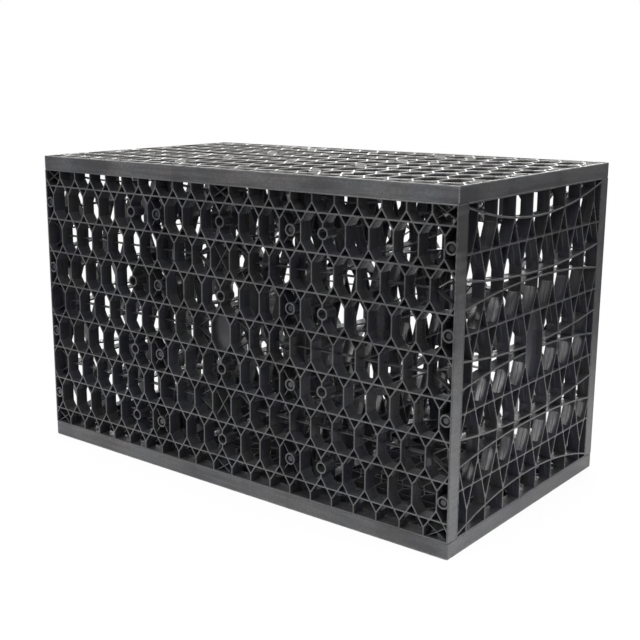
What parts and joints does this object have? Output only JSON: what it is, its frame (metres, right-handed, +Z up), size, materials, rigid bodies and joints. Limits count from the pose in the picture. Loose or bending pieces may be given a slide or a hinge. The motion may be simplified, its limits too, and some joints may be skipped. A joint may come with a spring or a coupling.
{
  "type": "pond reservoir block",
  "caption": "Open box-shaped crate of honeycomb plastic plates, pegged together, that stores water underground beneath a pond or garden.",
  "frame": {"origin": "middle of the underside", "axes": "+X along the length, +Y across from the front to the back, +Z up"},
  "size_m": [0.715, 0.4, 0.44],
  "materials": {
    "large_plate_plastic": "charcoal recycled polypropylene, satin, moulded",
    "small_plate_plastic": "charcoal recycled polypropylene, satin, moulded"
  },
  "bodies": {
    "root": {"bottom_plate": "large_plate_plastic", "top_plate": "large_plate_plastic", "front_plate": "large_plate_plastic", "back_plate": "large_plate_plastic", "left_end_plate": "small_plate_plastic", "left_inner_plate": "small_plate_plastic", "right_inner_plate": "small_plate_plastic", "right_end_plate": "small_plate_plastic"}
  },
  "joints": []
}
